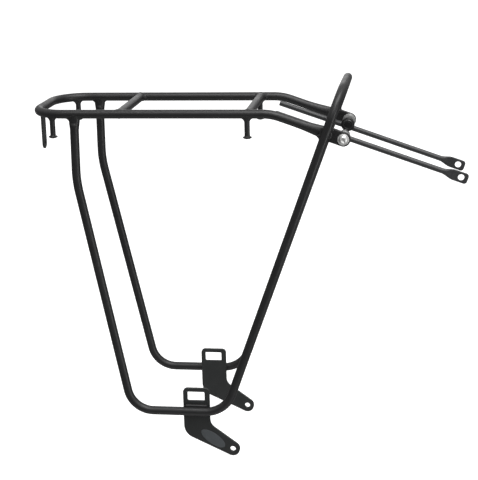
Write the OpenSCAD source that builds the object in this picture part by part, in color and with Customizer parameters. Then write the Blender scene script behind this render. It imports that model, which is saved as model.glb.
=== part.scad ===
// Rear rack for a bicycle: a bent-tube frame with a hoop over the front of
// the platform, drilled foot plates for the axle eyelets, and two adjustable
// stays that slide through and tilt with their clamps.
// Frame: millimetres, +X towards the front of the bicycle, +Y to its left,
// +Z up. The origin is midway between the two foot plate holes.

/* [Tubing] */
// Outside diameter of the frame tubes, coating included
tube_d = 10.3; // [9:0.1:12]
// Height of the platform rail centrelines over the foot holes
rail_z = 407.5; // [380:0.5:430]
// Half the spacing of the two rail centrelines
rail_y = 62.5; // [58:0.5:66]
// Centreline of the rear end of the platform, behind the foot holes
rear_x = 226; // [210:1:240]
// Centreline radius of the two rear corners of the platform
rear_corner_r = 38; // [25:1:50]
// Where the rails turn down towards the stay clamps
dip_x = 53; // [46:1:60]
// How steeply the rails dip to the stay clamps, degrees
dip_deg = 19.5; // [15:0.1:22]
// Centreline radius of the dip
dip_r = 60; // [40:5:90]

/* [Side frames] */
// Half the spacing of the two bottom tubes
foot_y = 75.15; // [74:0.05:78]
// Height of the bottom tubes over the foot holes
foot_z = 49.4; // [46:0.2:54]
// How far behind the foot holes the rear legs meet the rails
leg_x = 175.5; // [165:0.5:185]
// Height of the knee in the rear legs
knee_z = 329; // [310:1:345]
// Centreline radius of the knee
knee_r = 130; // [80:5:140]
// Rear lower corner, behind the foot holes
heel_x = 120; // [110:1:130]
// Centreline radius of the rear lower corner
heel_r = 31; // [25:1:40]
// Front lower corner, behind the foot holes
toe_x = 7; // [4:1:14]
// Centreline radius of the front lower corner
toe_r = 35; // [30:1:46]
// Forward lean of the front legs, mm forward for each mm of height
lean = 0.364; // [0.33:0.001:0.38]
// Height of the hoop centreline over the foot holes
hoop_z = 434; // [430:1:450]
// Half the width of the hoop where it passes the rails
hoop_y = 72.6; // [72.4:0.1:72.7]
// Centreline radius of the two hoop corners
hoop_r = 36; // [28:1:45]
// How far the left half of the hoop stands ahead of its middle, and the right half behind
hoop_skew = 1; // [0:0.5:2]

/* [Cross bars and posts] */
// Rear cross bar, behind the foot holes
bar_rear_x = 122.9; // [110:0.1:135]
// Front cross bar, in front of the foot holes
bar_front_x = 26.6; // [15:0.1:30]
// How far round the rear corners the rear cord posts stand, degrees
post_turn = 22; // [5:1:40]
// Front pair of cord posts, in front of the foot holes
post_front_x = 25.2; // [14:0.2:32]
// Diameter of a cord post
post_d = 6.3; // [5:0.1:7]
// Diameter of a cord post head
post_head_d = 10.6; // [9:0.2:12]
// Lowest point of the cord posts, below the rail centrelines
post_drop = 28.8; // [24:0.2:34]

/* [Reflector tab] */
// Width of the reflector tab
tab_w = 14; // [12:0.5:18]
// Thickness of the reflector tab
tab_t = 2; // [1.5:0.1:3]
// Lowest point of the reflector tab, below the rail centrelines
tab_drop = 52.5; // [45:0.5:60]
// Diameter of the reflector hole
tab_hole_d = 5.2; // [4.5:0.1:6]

/* [Foot plates] */
// Thickness of a foot plate
plate_t = 4; // [3:0.5:5]
// Diameter of the axle eyelet hole
foot_hole_d = 7; // [5.5:0.1:7.2]
// Radius of the plate's rounded end about the hole
plate_end_r = 8.5; // [8:0.1:9]
// Rear edge of the plate, behind the hole
plate_rear_x = 58.8; // [56:0.2:60]
// Front edge of the plate's upright part, behind the hole
plate_front_x = 26.8; // [25:0.2:28]
// Top edge of the plate over the hole
plate_top_z = 76.8; // [76:0.1:80]
// Length of the strap slot
slot_l = 21; // [18:0.2:21.2]
// Height of the strap slot
slot_h = 11.6; // [8:0.1:12]

/* [Stays and clamps] */
// Stay rod diameter
stay_d = 6.4; // [5:0.1:6.6]
// Half the spacing of the two stay rods
stay_y = 33.5; // [32:0.5:36]
// How steeply the stays slope down, degrees
stay_deg = 19.3; // [15:0.1:25]
// How far the rod runs below the clamp bolt
stay_offset = 2.9; // [2.4:0.1:3.1]
// Rod length behind the clamp bolt
stay_back = 84.2; // [60:0.2:90]
// Distance from the clamp bolt to the centre of the stay's eye
stay_reach = 140.2; // [120:0.2:150]
// How far the right stay is set out beyond the middle setting, and the left one back
stay_set = 1; // [-5:0.5:5]
// Diameter of the hole in the stay's eye
eye_hole_d = 7.5; // [5:0.1:8]
// Width of the flattened stay end
eye_w = 12.4; // [11.8:0.2:14]
// Thickness of the flattened stay end
eye_t = 3; // [2.6:0.1:3.6]
// Clamp bolt diameter
bolt_d = 5.9; // [5.4:0.05:5.95]
// Washer diameter
washer_d = 13.2; // [12:0.2:15]
// Clamp barrel diameter
barrel_d = 12.6; // [12.4:0.2:15]
// Diameter of the cap on the left barrel's inner end
cap_d = 16; // [14:0.5:17]
// Spacer collar diameter
collar_d = 16; // [14:0.5:17]

/* [Hidden] */
$fn = 48;
R = tube_d / 2;
// Clamp bolt axis, on the dipped part of the rails
lug_run = 85.9;
bolt_x = dip_x + lug_run * cos(dip_deg);
bolt_z = rail_z - lug_run * sin(dip_deg);
// Flattened rail ends
lug_t = 5;
lug_r = 8.3;
flat_run = 13;
blend_run = 13;
oval_run = 24;
oval = 1.3;
lug_bore_d = 6;
// Faces of the clamp stack, measured from the middle plane
lug_out = rail_y + lug_t / 2;
lug_in = rail_y - lug_t / 2;
washer_t = 1.2;
head_h = 3.3;
collar_l = 8;
barrel_in = stay_y - 6.6;
// Saddle cuts stop a little short of the tube's own centreline
saddle = R / 2;
groove = 0.5;
plate_out = foot_y - R + groove;
plate_in = plate_out - plate_t;

function unit(v) = v / norm(v);
// Places children so that their X, Y and Z run along e0, e1 and e2 from c
module place(e0, e1, e2, c) {
    multmatrix([[e0[0], e1[0], e2[0], c[0]], [e0[1], e1[1], e2[1], c[1]], [e0[2], e1[2], e2[2], c[2]], [0, 0, 0, 1]]) children();
}
// Straight round bar from a to b
module bar(a, b, r) {
    w = unit(b - a);
    u = unit(cross(abs(w[1]) < 0.9 ? [0, 1, 0] : [1, 0, 0], w));
    place(u, cross(w, u), w, a) cylinder(r = r, h = norm(b - a));
}
// Length that a bend of radius rad takes off each side of corner b
function cutback(a, b, c, rad) = rad / tan(acos(unit(a - b) * unit(c - b)) / 2);
// Bend of radius rad at corner b between points a and c
module bend(a, b, c, rad, r) {
    u = unit(a - b);
    w = unit(c - b);
    half = acos(u * w) / 2;
    m = b + unit(u + w) * (rad / sin(half));
    e0 = unit(b + u * (rad / tan(half)) - m);
    n = unit(cross(e0, b + w * (rad / tan(half)) - m));
    place(e0, cross(n, e0), n, m) rotate_extrude(angle = 180 - 2 * half) translate([rad, 0]) circle(r = r);
}
// Bent round bar through points p, with a bend radius for each inner point
module bent_bar(p, rad, r) {
    n = len(p);
    function back(i) = (i == 0 || i == n - 1) ? 0 : cutback(p[i - 1], p[i], p[i + 1], rad[i - 1]);
    union() {
        // the straight parts run half a millimetre into the bends, which
        // are a little slimmer, as a tube is where it is bent
        for (i = [0 : n - 2]) {
            w = unit(p[i + 1] - p[i]);
            bar(p[i] + w * (back(i) - (i > 0 ? 0.5 : 0)), p[i + 1] - w * (back(i + 1) - (i < n - 2 ? 0.5 : 0)), r);
        }
        for (i = [1 : n - 2]) bend(p[i - 1], p[i], p[i + 1], rad[i - 1], r - 0.02);
    }
}
// Straight lines that the mating tubes are coped to
module rail_line(s, r = R) { translate([-rear_x + rear_corner_r, s * rail_y, rail_z]) rotate([0, 90, 0]) cylinder(r = r, h = dip_x + rear_x - rear_corner_r - 12); }
module dip_line(s) { translate([dip_x, s * rail_y, rail_z]) rotate([0, 90 + dip_deg, 0]) translate([0, 0, 14]) cylinder(r = R, h = lug_run - 14 - flat_run); }

// ---- platform ----
// Flattened and drilled front end of one rail, drawn along the dipped rail
module rail_end(s) {
    translate([bolt_x, s * rail_y, bolt_z]) rotate([0, dip_deg, 0]) {
        difference() {
            union() {
                rotate([90, 0, 0]) translate([0, 0, -lug_t / 2]) linear_extrude(lug_t) union() {
                    circle(r = lug_r);
                    translate([-flat_run - 0.5, -lug_r]) square([flat_run + 0.5, 2 * lug_r]);
                }
                // the rod is round, then oval, then flat
                hull() {
                    translate([-flat_run - 0.5, 0, 0]) cube([1, lug_t - 0.3, 2 * lug_r - 0.3], center = true);
                    translate([-flat_run - blend_run, 0, 0]) rotate([0, 90, 0]) scale([1 + oval / R, 1, 1]) cylinder(r = R - 0.2, h = 1, $fn = 32);
                }
                hull() {
                    translate([-flat_run - blend_run, 0, 0]) rotate([0, 90, 0]) scale([1 + oval / R, 1, 1]) cylinder(r = R - 0.2, h = 1, $fn = 32);
                    translate([-flat_run - blend_run - oval_run, 0, 0]) rotate([0, 90, 0]) cylinder(r = R - 0.15, h = 1, $fn = 32);
                }
            }
            rotate([90, 0, 0]) cylinder(d = lug_bore_d, h = lug_t + 2, center = true);
        }
    }
}
module platform_tube() color([0.20, 0.20, 0.21]) {
    run = lug_run - flat_run - blend_run + 0.5;
    e = [dip_x + run * cos(dip_deg), 0, rail_z - run * sin(dip_deg)];
    union() {
        bent_bar([e + [0, -rail_y, 0], [dip_x, -rail_y, rail_z], [-rear_x, -rail_y, rail_z],
            [-rear_x, rail_y, rail_z], [dip_x, rail_y, rail_z], e + [0, rail_y, 0]],
            [dip_r, rear_corner_r, rear_corner_r, dip_r], R);
        for (s = [-1, 1]) rail_end(s);
    }
}

// ---- side frames and hoop ----
toe_x0 = -toe_x;
function lean_x(z) = toe_x0 + (z - foot_z) * lean;
function lean_y(z) = foot_y + (hoop_y - foot_y) * (z - foot_z) / (bolt_z + 8 - foot_z);
function side_points(s) = [[-leg_x, s * rail_y, rail_z - saddle], [-leg_x - 1, s * (rail_y + 1), knee_z],
    [-heel_x, s * foot_y, foot_z], [toe_x0, s * foot_y, foot_z], [lean_x(hoop_z) + s * hoop_skew, s * lean_y(hoop_z), hoop_z]];
module side_frame_tube() color([0.18, 0.18, 0.19]) {
    q = side_points(1);
    difference() {
        bent_bar([for (i = [0 : 4]) side_points(-1)[i], for (i = [4 : -1 : 0]) q[i]],
            [knee_r, heel_r, toe_r, hoop_r, hoop_r, toe_r, heel_r, knee_r], R);
        for (s = [-1, 1]) { rail_line(s); dip_line(s); }
    }
}

// ---- cross bars ----
module cross_bar(x) difference() {
    translate([x, 0, rail_z]) rotate([90, 0, 0]) cylinder(r = R, h = 2 * (rail_y - post_d / 2 - 0.05), center = true);
    for (s = [-1, 1]) rail_line(s);
}
module rear_cross_bar() color([0.24, 0.24, 0.25]) cross_bar(-bar_rear_x);
module front_cross_bar() color([0.24, 0.24, 0.25]) cross_bar(bar_front_x);

// ---- foot plates ----
// Outline in X and Z about the axle eyelet hole
module plate_outline() {
    lower = [-52.4, 14.3];
    ul = unit([-4.3, -8.2] - lower);
    a0 = atan2(-plate_end_r * ul[0], plate_end_r * ul[1]);
    tr = 5;
    // centre of the concave fillet between the upright and the arm
    arm = -36.6;
    fr = 12;
    n = [cos(arm + 90), sin(arm + 90)];
    fx = -plate_front_x + fr;
    // the arm's upper edge runs plate_end_r from the hole
    fz = (plate_end_r + fr - fx * n[0]) / n[1];
    lr = 17;
    low = -25.2;
    m = [cos(low - 90), sin(low - 90)];
    lx = -plate_rear_x + lr;
    lz = (plate_end_r - lr - lx * m[0]) / m[1];
    polygon(concat(
        [for (t = [90 : -10 : 0]) [-plate_front_x - tr, plate_top_z - tr] + tr * [cos(t), sin(t)]],
        [for (t = [180 : (arm + 90 + 180 - 180) / 8 : 180 + 90 + arm]) [fx, fz] + fr * [cos(t), sin(t)]],
        [for (t = [90 + arm : -(180 + arm - low) / 24 : low - 90 - 0.01]) plate_end_r * [cos(t), sin(t)]],
        [for (t = [low - 90 : -(90 + low) / 10 : -180.01]) [lx, lz] + lr * [cos(t), sin(t)]],
        [for (t = [180 : -10 : 90]) [-plate_rear_x + tr, plate_top_z - tr] + tr * [cos(t), sin(t)]]));
}
module foot_plate(s) {
    q = side_points(s);
    difference() {
        translate([0, s > 0 ? plate_out : -plate_in, 0]) rotate([90, 0, 0]) linear_extrude(plate_t) plate_outline();
        translate([0, s * (plate_in + plate_t / 2), 0]) rotate([90, 0, 0]) cylinder(d = foot_hole_d, h = plate_t + 2, center = true);
        translate([-plate_front_x - 5.9 - slot_l / 2, s * (plate_in + plate_t / 2), plate_top_z - 4.4 - slot_h / 2])
            cube([slot_l, plate_t + 2, slot_h], center = true);
        // the bottom tube lies in a groove, opened out where its front bend begins
        translate([-heel_x, s * foot_y, foot_z]) rotate([0, 90, 0]) cylinder(r = R, h = heel_x - toe_x - cutback(q[2], q[3], q[4], toe_r));
        translate([-toe_x - cutback(q[2], q[3], q[4], toe_r) - 0.2, s * foot_y, foot_z + 0.15]) rotate([0, 90, 0]) cylinder(r = R + 0.35, h = 12);
    }
}
module right_foot_plate() color([0.17, 0.18, 0.18]) foot_plate(-1);
module left_foot_plate() color([0.17, 0.18, 0.18]) foot_plate(1);
// Blank oval badge on the outer face of the right plate's arm
module right_plate_badge() color([0.30, 0.31, 0.33])
    translate([-23.6, -plate_out, 12.9]) rotate([0, 36, 0]) rotate([90, 0, 0])
        intersection() {
            translate([0, -27, 0]) cylinder(r = 34, h = 0.5, $fn = 96);
            translate([0, 27, 0]) cylinder(r = 34, h = 0.5, $fn = 96);
            cube([36, 40, 4], center = true);
        }

// ---- cord posts and reflector tab ----
module cord_post(x, y, s) {
    tip = rail_z - post_drop;
    h = post_head_d / 2;
    difference() {
        translate([x, s * y, tip]) union() {
            translate([0, 0, 1]) cylinder(d = post_d, h = post_drop - saddle - 2);
            // mushroom head, rounded above and below
            rotate_extrude() polygon([[0, 0], [1.6, 0.12], [3, 0.5], [4.2, 1.05], [h - 0.25, 1.65], [h, 2.2], [h - 0.3, 2.7], [4.1, 3.15], [post_d / 2, 3.6], [0, 3.6]]);
        }
        if (x > -rear_x + rear_corner_r) rail_line(s);
        else translate([-rear_x + rear_corner_r, s * (rail_y - rear_corner_r), rail_z]) rotate([0, 0, s > 0 ? 90 : 180])
            rotate_extrude(angle = 90) translate([rear_corner_r, 0]) circle(r = R);
    }
}
post_rear_x = -rear_x + rear_corner_r * (1 - sin(post_turn));
post_rear_y = rail_y - rear_corner_r * (1 - cos(post_turn));
module right_rear_cord_post() color([0.16, 0.16, 0.17]) cord_post(post_rear_x, post_rear_y, -1);
module left_rear_cord_post() color([0.16, 0.16, 0.17]) cord_post(post_rear_x, post_rear_y, 1);
module right_front_cord_post() color([0.16, 0.16, 0.17]) cord_post(post_front_x, rail_y, -1);
module left_front_cord_post() color([0.16, 0.16, 0.17]) cord_post(post_front_x, rail_y, 1);
module reflector_tab() color([0.20, 0.20, 0.21])
    difference() {
        translate([-rear_x - R + 1.5 - tab_t, 0, rail_z]) rotate([90, 0, 90]) linear_extrude(tab_t) union() {
            translate([-tab_w / 2, -tab_drop + tab_w / 2]) square([tab_w, tab_drop - tab_w / 2 - 0]);
            translate([0, -tab_drop + tab_w / 2]) circle(d = tab_w);
        }
        translate([-rear_x, 0, rail_z]) rotate([90, 0, 0]) cylinder(r = R, h = tab_w + 4, center = true);
        translate([-rear_x - R, 0, rail_z - tab_drop + tab_w / 2]) rotate([0, 90, 0]) cylinder(d = tab_hole_d, h = 8, center = true);
    }

// ---- clamps: everything is drawn about the bolt axis ----
// Puts children at the right or left bolt with Z pointing outwards
module at_bolt(s) translate([bolt_x, 0, bolt_z]) rotate([-90 * s, 0, 0]) children();
module clamp_bolt(s) at_bolt(s) {
    head = lug_out + washer_t;
    difference() {
        union() {
            translate([0, 0, stay_y + stay_d / 2 + 0.6]) cylinder(d = bolt_d, h = head - stay_y - stay_d / 2 - 0.5);
            // domed button head
            translate([0, 0, head]) rotate_extrude() intersection() {
                translate([0, -3.2]) circle(r = 6.5, $fn = 96);
                square([5.3, head_h]);
            }
        }
        translate([0, 0, head + 1.2]) cylinder(d = 4 / cos(30), h = 4, $fn = 6);
    }
}
module right_clamp_bolt() color([0.72, 0.72, 0.71]) clamp_bolt(-1);
module left_clamp_bolt() color([0.72, 0.72, 0.71]) clamp_bolt(1);
module ring(d, bore, h) difference() { cylinder(d = d, h = h); translate([0, 0, -1]) cylinder(d = bore, h = h + 2); }
module right_clamp_washer() color([0.66, 0.66, 0.65]) at_bolt(-1) translate([0, 0, lug_out]) ring(washer_d, 6.4, washer_t);
module left_clamp_washer() color([0.66, 0.66, 0.65]) at_bolt(1) translate([0, 0, lug_out]) ring(washer_d, 6.4, washer_t);
module right_clamp_collar() color([0.42, 0.43, 0.43]) at_bolt(-1) translate([0, 0, lug_in - collar_l]) ring(collar_d, 6.2, collar_l);
module left_clamp_collar() color([0.42, 0.43, 0.43]) at_bolt(1) translate([0, 0, lug_in - collar_l]) ring(collar_d, 6.2, collar_l);
// The barrel holds the rod in a cross hole and takes the bolt in its end
function rod_drop(k) = k * [-sin(stay_deg), 0, -cos(stay_deg)];
module clamp_barrel(s) {
    top = lug_in - collar_l;
    c = rod_drop(stay_offset / 2);
    difference() {
        union() {
            translate([bolt_x + c[0], 0, bolt_z + c[2]]) rotate([-90 * s, 0, 0]) {
                translate([0, 0, barrel_in + 1]) cylinder(d = barrel_d, h = top - barrel_in - 1);
                translate([0, 0, barrel_in]) cylinder(d1 = barrel_d - 2, d2 = barrel_d, h = 1);
            }
            // only the left barrel ends in a wider cap, centred on the bolt
            if (s > 0) at_bolt(s) {
                translate([0, 0, barrel_in + 0.9]) cylinder(d = cap_d, h = 2.2);
                translate([0, 0, barrel_in - 0.3]) cylinder(d1 = 0.6 * cap_d, d2 = 0.74 * cap_d, h = 1.2);
            }
        }
        at_bolt(s) translate([0, 0, stay_y]) cylinder(d = 6, h = top - stay_y + 1);
        rod_axis(s) translate([0, 0, -20]) cylinder(d = stay_d + 0.1, h = 40);
    }
}
// Puts children on the rod's axis with Z along the rod, forwards, and X down
module rod_axis(s) {
    c = rod_drop(stay_offset);
    translate([bolt_x + c[0], s * stay_y, bolt_z + c[2]]) rotate([0, 90 + stay_deg, 0]) children();
}
module right_clamp_barrel() color([0.15, 0.15, 0.16]) clamp_barrel(-1);
module left_clamp_barrel() color([0.15, 0.15, 0.16]) clamp_barrel(1);

// ---- stays ----
module stay_rod(s) rod_axis(s) translate([0, 0, -s * stay_set]) {
    flat = stay_reach - 9;
    difference() {
        union() {
            translate([0, 0, -stay_back + 0.6]) cylinder(d = stay_d, h = stay_back + flat - 12.6);
            translate([0, 0, -stay_back]) cylinder(d1 = stay_d - 1.2, d2 = stay_d, h = 0.6);
            hull() {
                translate([0, 0, flat - 12.6]) cylinder(d = stay_d - 0.2, h = 0.8, $fn = 32);
                translate([-eye_w / 2 + 0.4, -eye_t / 2, flat]) cube([eye_w - 0.8, eye_t, 0.5]);
            }
            // flat eye with rounded corners
            translate([0, eye_t / 2, 0]) rotate([90, 0, 0]) linear_extrude(eye_t) union() {
                translate([-eye_w / 2, flat + 3]) square([eye_w, 10.6]);
                translate([-eye_w / 2 + 0.4, flat + 0.2]) square([eye_w - 0.8, 10]);
                translate([-eye_w / 2 + 3.5, flat + 6]) square([eye_w - 7, 11.1]);
                for (k = [-1, 1]) translate([k * (eye_w / 2 - 3.5), flat + 13.6]) circle(r = 3.5);
            }
        }
        translate([0, 0, stay_reach]) rotate([90, 0, 0]) cylinder(d = eye_hole_d, h = eye_t + 2, center = true);
    }
}
module right_stay_rod() color([0.22, 0.22, 0.23]) stay_rod(-1);
module left_stay_rod() color([0.22, 0.22, 0.23]) stay_rod(1);

platform_tube();
side_frame_tube();
rear_cross_bar();
front_cross_bar();
right_foot_plate();
left_foot_plate();
right_plate_badge();
reflector_tab();
right_rear_cord_post();
left_rear_cord_post();
right_front_cord_post();
left_front_cord_post();
right_clamp_bolt();
left_clamp_bolt();
right_clamp_washer();
left_clamp_washer();
right_clamp_collar();
left_clamp_collar();
right_clamp_barrel();
left_clamp_barrel();
right_stay_rod();
left_stay_rod();
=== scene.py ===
"""Looks for the bicycle rear rack: detailed meshes, welds, coatings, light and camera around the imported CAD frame."""

import math

import bmesh
import bpy
from mathutils import Matrix, Vector


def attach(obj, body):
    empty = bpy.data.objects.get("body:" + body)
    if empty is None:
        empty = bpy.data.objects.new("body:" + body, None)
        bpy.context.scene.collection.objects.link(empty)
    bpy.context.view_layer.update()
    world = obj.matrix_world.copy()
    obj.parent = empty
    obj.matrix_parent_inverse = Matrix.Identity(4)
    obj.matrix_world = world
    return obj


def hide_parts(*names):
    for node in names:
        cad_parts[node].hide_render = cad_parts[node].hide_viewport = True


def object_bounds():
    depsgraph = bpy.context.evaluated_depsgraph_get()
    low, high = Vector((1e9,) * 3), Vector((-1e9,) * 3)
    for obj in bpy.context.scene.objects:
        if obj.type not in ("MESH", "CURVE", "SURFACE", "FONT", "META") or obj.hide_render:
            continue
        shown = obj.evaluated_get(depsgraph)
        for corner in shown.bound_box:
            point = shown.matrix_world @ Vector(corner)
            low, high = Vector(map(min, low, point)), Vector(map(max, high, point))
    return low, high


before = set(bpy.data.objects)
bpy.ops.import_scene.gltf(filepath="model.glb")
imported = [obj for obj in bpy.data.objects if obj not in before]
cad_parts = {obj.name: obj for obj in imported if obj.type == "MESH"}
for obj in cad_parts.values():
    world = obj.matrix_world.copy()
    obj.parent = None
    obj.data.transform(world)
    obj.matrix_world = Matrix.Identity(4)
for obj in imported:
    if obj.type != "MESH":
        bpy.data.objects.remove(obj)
CAD_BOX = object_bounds()

MM = 0.001
sin, cos, pi = math.sin, math.cos, math.pi
rad = math.radians

# ---------------------------------------------------------------- dimensions, mm, as in the CAD model
R = 5.15
RAIL_Z, RAIL_Y = 407.5, 62.5
REAR_X, CORNER_R = 226.0, 38.0
DIP_X, DIP, DIP_R, LUG_RUN = 53.0, rad(19.5), 60.0, 85.9
FOOT_Y, FOOT_Z = 75.15, 49.4
LEG_X, KNEE_Z, KNEE_R = 175.5, 329.0, 130.0
HEEL_X, HEEL_R, TOE_X, TOE_R = 120.0, 31.0, 7.0, 35.0
LEAN, HOOP_Z, HOOP_Y, HOOP_R, SKEW = 0.364, 434.0, 72.6, 36.0, 1.0
BAR_REAR, BAR_FRONT = -122.9, 26.6
BOLT = Vector((DIP_X + LUG_RUN * cos(DIP), 0, RAIL_Z - LUG_RUN * sin(DIP)))
LUG_T, LUG_R = 5.0, 8.3
STAY_A, STAY_Y, STAY_OFF = rad(19.3), 33.5, 2.9
STAY_BACK, STAY_REACH, STAY_SET, STAY_R = 84.2, 140.2, 1.0, 3.2
ROD_AT = BOLT + Vector((-sin(STAY_A), 0, -cos(STAY_A))) * STAY_OFF
ROD_DIR = Vector((cos(STAY_A), 0, -sin(STAY_A)))
PLATE_OUT, PLATE_IN = 70.5, 66.5


# ---------------------------------------------------------------- mesh helpers
def new_object(name, verts, faces, smooth=35):
    me = bpy.data.meshes.new(name)
    me.from_pydata([Vector(v) * MM for v in verts], [], faces)
    me.validate()
    bm = bmesh.new()
    bm.from_mesh(me)
    bmesh.ops.remove_doubles(bm, verts=bm.verts, dist=1e-6)
    bmesh.ops.recalc_face_normals(bm, faces=bm.faces)
    bm.to_mesh(me)
    bm.free()
    return finish_mesh(name, me, smooth)


def finish_mesh(name, me, smooth=35):
    for p in me.polygons:
        p.use_smooth = True
    if smooth:
        me.set_sharp_from_angle(angle=rad(smooth))
    ob = bpy.data.objects.new(name, me)
    bpy.context.scene.collection.objects.link(ob)
    return ob


def apply_modifiers(ob):
    bpy.context.view_layer.update()
    dg = bpy.context.evaluated_depsgraph_get()
    me = bpy.data.meshes.new_from_object(ob.evaluated_get(dg))
    ob.modifiers.clear()
    old = ob.data
    ob.data = me
    me.name = old.name + "_m"
    return ob


def cut(ob, cutter):
    m = ob.modifiers.new("cut", "BOOLEAN")
    m.operation, m.solver, m.object = "DIFFERENCE", "EXACT", cutter
    apply_modifiers(ob)
    bpy.data.objects.remove(cutter)
    for p in ob.data.polygons:
        p.use_smooth = True
    ob.data.set_sharp_from_angle(angle=rad(35))
    return ob


def bevel(ob, width, segments=3, angle=40):
    m = ob.modifiers.new("edge", "BEVEL")
    m.width, m.segments, m.limit_method, m.angle_limit = width * MM, segments, "ANGLE", rad(angle)
    m.harden_normals = True
    m.use_clamp_overlap = True
    return ob


def rounded_path(points, radii, step=2.4, straight=9.0):
    """Points along a line with rounded corners, close together in the bends."""
    pts = [Vector(p) for p in points]
    ends = [pts[0]]
    out = [pts[0]]

    def run(a, b):
        n = max(1, round((b - a).length / straight))
        for i in range(1, n + 1):
            out.append(a.lerp(b, i / n))

    for i in range(1, len(pts) - 1):
        a, b, c, r = pts[i - 1], pts[i], pts[i + 1], radii[i - 1]
        u, w = (a - b).normalized(), (c - b).normalized()
        half = u.angle(w) / 2
        m = b + (u + w).normalized() * (r / sin(half))
        s, e = b + u * (r / math.tan(half)), b + w * (r / math.tan(half))
        run(ends[-1], s)
        v0, v1 = s - m, e - m
        turn = v0.angle(v1)
        n = max(4, round(turn * r / step))
        for k in range(1, n + 1):
            t = k / n
            out.append(m + (v0 * sin((1 - t) * turn) + v1 * sin(t * turn)) / sin(turn))
        ends.append(e)
    run(ends[-1], pts[-1])
    return out


def frames_along(pts, normal):
    """Tangent, normal and binormal at each point, carried along without twist."""
    n = len(pts)
    tans = []
    for i in range(n):
        a, b = pts[max(i - 1, 0)], pts[min(i + 1, n - 1)]
        tans.append((b - a).normalized())
    nrm = (Vector(normal) - tans[0] * Vector(normal).dot(tans[0])).normalized()
    out = []
    for i in range(n):
        if i:
            q = tans[i - 1].rotation_difference(tans[i])
            nrm = q @ nrm
            nrm = (nrm - tans[i] * nrm.dot(tans[i])).normalized()
        out.append((tans[i], nrm.copy(), tans[i].cross(nrm)))
    return out


def sweep(name, pts, section, normal=(0, 1, 0), sides=40, smooth=40, cap=True, closed=False):
    """Skin over rings. section(i, angle) gives the ring's two offsets along the normal and the binormal."""
    fr = frames_along(pts, normal)
    verts, faces = [], []
    n = len(pts)
    for i, p in enumerate(pts):
        _, a, b = fr[i]
        for k in range(sides):
            x, y = section(i, 2 * pi * k / sides)
            verts.append(p + a * x + b * y)
    for i in range(n if closed else n - 1):
        j = (i + 1) % n
        for k in range(sides):
            m = (k + 1) % sides
            faces.append((i * sides + k, i * sides + m, j * sides + m, j * sides + k))
    if cap and not closed:
        faces.append(tuple(range(sides)))
        faces.append(tuple((n - 1) * sides + k for k in range(sides)))
    return new_object(name, verts, faces, smooth)


def smoothstep(t):
    t = min(1.0, max(0.0, t))
    return t * t * (3 - 2 * t)


def superellipse(a, b, power, th):
    c, s = cos(th), sin(th)
    e = 2 / power
    return a * math.copysign(abs(c) ** e, c), b * math.copysign(abs(s) ** e, s)


def lathe(name, profile, at, axis, sides=72, smooth=30):
    """Revolves (radius, height) points about axis through at. Radius 0 closes an end."""
    z = Vector(axis).normalized()
    x = z.orthogonal().normalized()
    y = z.cross(x)
    at = Vector(at)
    verts, faces, rings = [], [], []
    for r, h in profile:
        if r <= 1e-6:
            rings.append([len(verts)])
            verts.append(at + z * h)
        else:
            rings.append(list(range(len(verts), len(verts) + sides)))
            for k in range(sides):
                t = 2 * pi * k / sides
                verts.append(at + z * h + (x * cos(t) + y * sin(t)) * r)
    loop = profile[0][0] > 1e-6 and profile[-1][0] > 1e-6
    pairs = [(i, i + 1) for i in range(len(rings) - 1)] + ([(len(rings) - 1, 0)] if loop else [])
    for i, j in pairs:
        a, b = rings[i], rings[j]
        for k in range(sides):
            m = (k + 1) % sides
            if len(a) == 1 and len(b) == 1:
                continue
            if len(a) == 1:
                faces.append((a[0], b[m], b[k]))
            elif len(b) == 1:
                faces.append((a[k], a[m], b[0]))
            else:
                faces.append((a[k], a[m], b[m], b[k]))
    return new_object(name, verts, faces, smooth)


def arc2(cx, cy, r, a0, a1, n):
    return [(cx + r * cos(rad(a0 + (a1 - a0) * i / n)), cy + r * sin(rad(a0 + (a1 - a0) * i / n))) for i in range(n + 1)]


def plate(name, loops, y0, y1, edge, smooth=35):
    """A flat plate in X and Z with holes, from y0 to y1, with its rims rounded by edge."""
    bm = bmesh.new()
    edges = []
    for loop in loops:
        vs = [bm.verts.new((x * MM, y0 * MM, z * MM)) for x, z in loop]
        edges += [bm.edges.new((vs[i], vs[(i + 1) % len(vs)])) for i in range(len(vs))]
    bmesh.ops.triangle_fill(bm, use_beauty=True, use_dissolve=False, edges=edges)
    bmesh.ops.dissolve_limit(bm, angle_limit=rad(1), verts=bm.verts, edges=[e for e in bm.edges if len(e.link_faces) == 2])
    back = bmesh.ops.extrude_face_region(bm, geom=list(bm.faces))
    moved = [g for g in back["geom"] if isinstance(g, bmesh.types.BMVert)]
    bmesh.ops.translate(bm, verts=moved, vec=(0, (y1 - y0) * MM, 0))
    bmesh.ops.recalc_face_normals(bm, faces=bm.faces)
    me = bpy.data.meshes.new(name)
    bm.to_mesh(me)
    bm.free()
    ob = finish_mesh(name, me, smooth)
    return bevel(ob, edge)


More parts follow.
